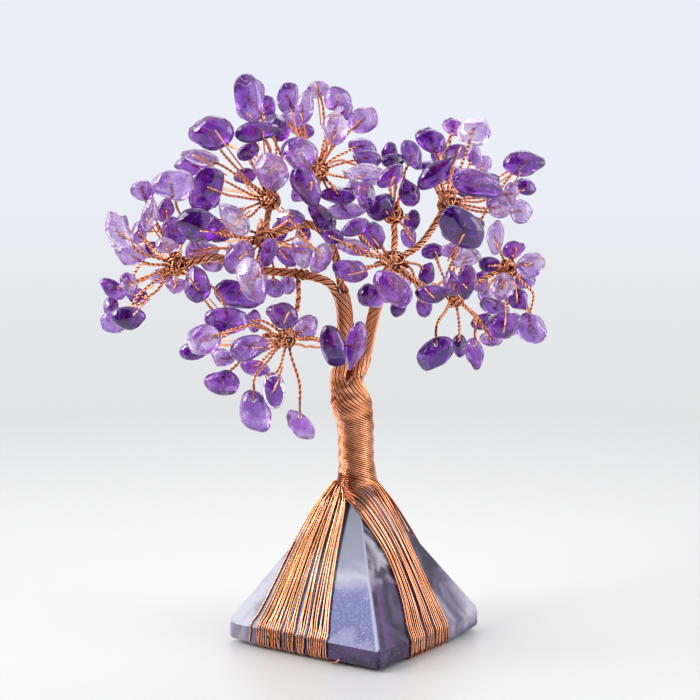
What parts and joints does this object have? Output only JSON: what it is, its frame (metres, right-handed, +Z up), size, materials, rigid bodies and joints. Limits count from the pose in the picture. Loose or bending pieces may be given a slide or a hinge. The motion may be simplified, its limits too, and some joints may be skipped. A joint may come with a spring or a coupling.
{
  "type": "gemstone tree ornament",
  "caption": "Wire tree of twisted copper with tumbled amethyst chips, its trunk wound with wire and its roots wrapped over a polished stone pyramid.",
  "frame": {"origin": "under the middle of the pyramid, on the surface that the ornament stands on", "axes": "+Z up, +X to the right seen from the front, +Y away from the front"},
  "size_m": [0.1231, 0.0714, 0.1529],
  "materials": {
    "pyramid_stone": "polished translucent stone, dark violet with pale clouds",
    "copper_wire": "bright bare copper wire",
    "pale_amethyst": "tumbled pale lilac amethyst, glossy",
    "mid_amethyst": "tumbled violet amethyst, glossy",
    "deep_amethyst": "tumbled deep purple amethyst, glossy"
  },
  "bodies": {
    "tree": {"back_left_skirt": "copper_wire", "back_right_skirt": "copper_wire", "centre_branch": "copper_wire", "centre_deep_chips": "deep_amethyst", "centre_knots": "copper_wire", "centre_mid_chips": "mid_amethyst", "centre_pale_chips": "pale_amethyst", "centre_twigs": "copper_wire", "drop_branch": "copper_wire", "east_branch": "copper_wire", "east_deep_chips": "deep_amethyst", "east_knots": "copper_wire", "east_mid_chips": "mid_amethyst", "east_pale_chips": "pale_amethyst", "east_twigs": "copper_wire", "far_east_branch": "copper_wire", "front_left_skirt": "copper_wire", "front_right_skirt": "copper_wire", "high_right_branch": "copper_wire", "left_limb": "copper_wire", "lower_left_deep_chips": "deep_amethyst", "lower_left_knots": "copper_wire", "lower_left_mid_chips": "mid_amethyst", "lower_left_pale_chips": "pale_amethyst", "lower_left_twigs": "copper_wire", "main_limb": "copper_wire", "pyramid_base": "pyramid_stone", "right_deep_chips": "deep_amethyst", "right_knots": "copper_wire", "right_limb": "copper_wire", "right_mid_chips": "mid_amethyst", "right_pale_chips": "pale_amethyst", "right_twigs": "copper_wire", "top_branch": "copper_wire", "top_deep_chips": "deep_amethyst", "top_knots": "copper_wire", "top_mid_chips": "mid_amethyst", "top_pale_chips": "pale_amethyst", "top_twigs": "copper_wire", "trunk_core": "copper_wire", "trunk_winding": "copper_wire", "upper_limb": "copper_wire", "upper_right_branch": "copper_wire", "upper_right_deep_chips": "deep_amethyst", "upper_right_knots": "copper_wire", "upper_right_mid_chips": "mid_amethyst", "upper_right_pale_chips": "pale_amethyst", "upper_right_twigs": "copper_wire", "west_deep_chips": "deep_amethyst", "west_knots": "copper_wire", "west_mid_chips": "mid_amethyst", "west_pale_chips": "pale_amethyst", "west_twigs": "copper_wire"},
    "inner_pendant_chip": {"inner_pendant": "deep_amethyst"},
    "left_pendant_chip": {"left_pendant": "pale_amethyst"},
    "low_pendant_chip": {"low_pendant": "mid_amethyst"},
    "outer_pendant_chip": {"outer_pendant": "mid_amethyst"}
  },
  "joints": [
    {"name": "inner_pendant_swing", "type": "hinge", "parent": "tree", "child": "inner_pendant_chip", "pos_m": [0.02094, -0.0162, 0.0822], "axis": [0, 1, 0], "range_deg": [-15, 15]},
    {"name": "left_pendant_swing", "type": "hinge", "parent": "tree", "child": "left_pendant_chip", "pos_m": [-0.02668, -0.0126, 0.06713], "axis": [0, 1, 0], "range_deg": [-15, 15]},
    {"name": "low_pendant_swing", "type": "hinge", "parent": "tree", "child": "low_pendant_chip", "pos_m": [-0.01464, -0.0108, 0.06247], "axis": [0, 1, 0], "range_deg": [-15, 15]},
    {"name": "outer_pendant_swing", "type": "hinge", "parent": "tree", "child": "outer_pendant_chip", "pos_m": [0.03124, -0.0144, 0.08187], "axis": [0, 1, 0], "range_deg": [-15, 15]}
  ]
}
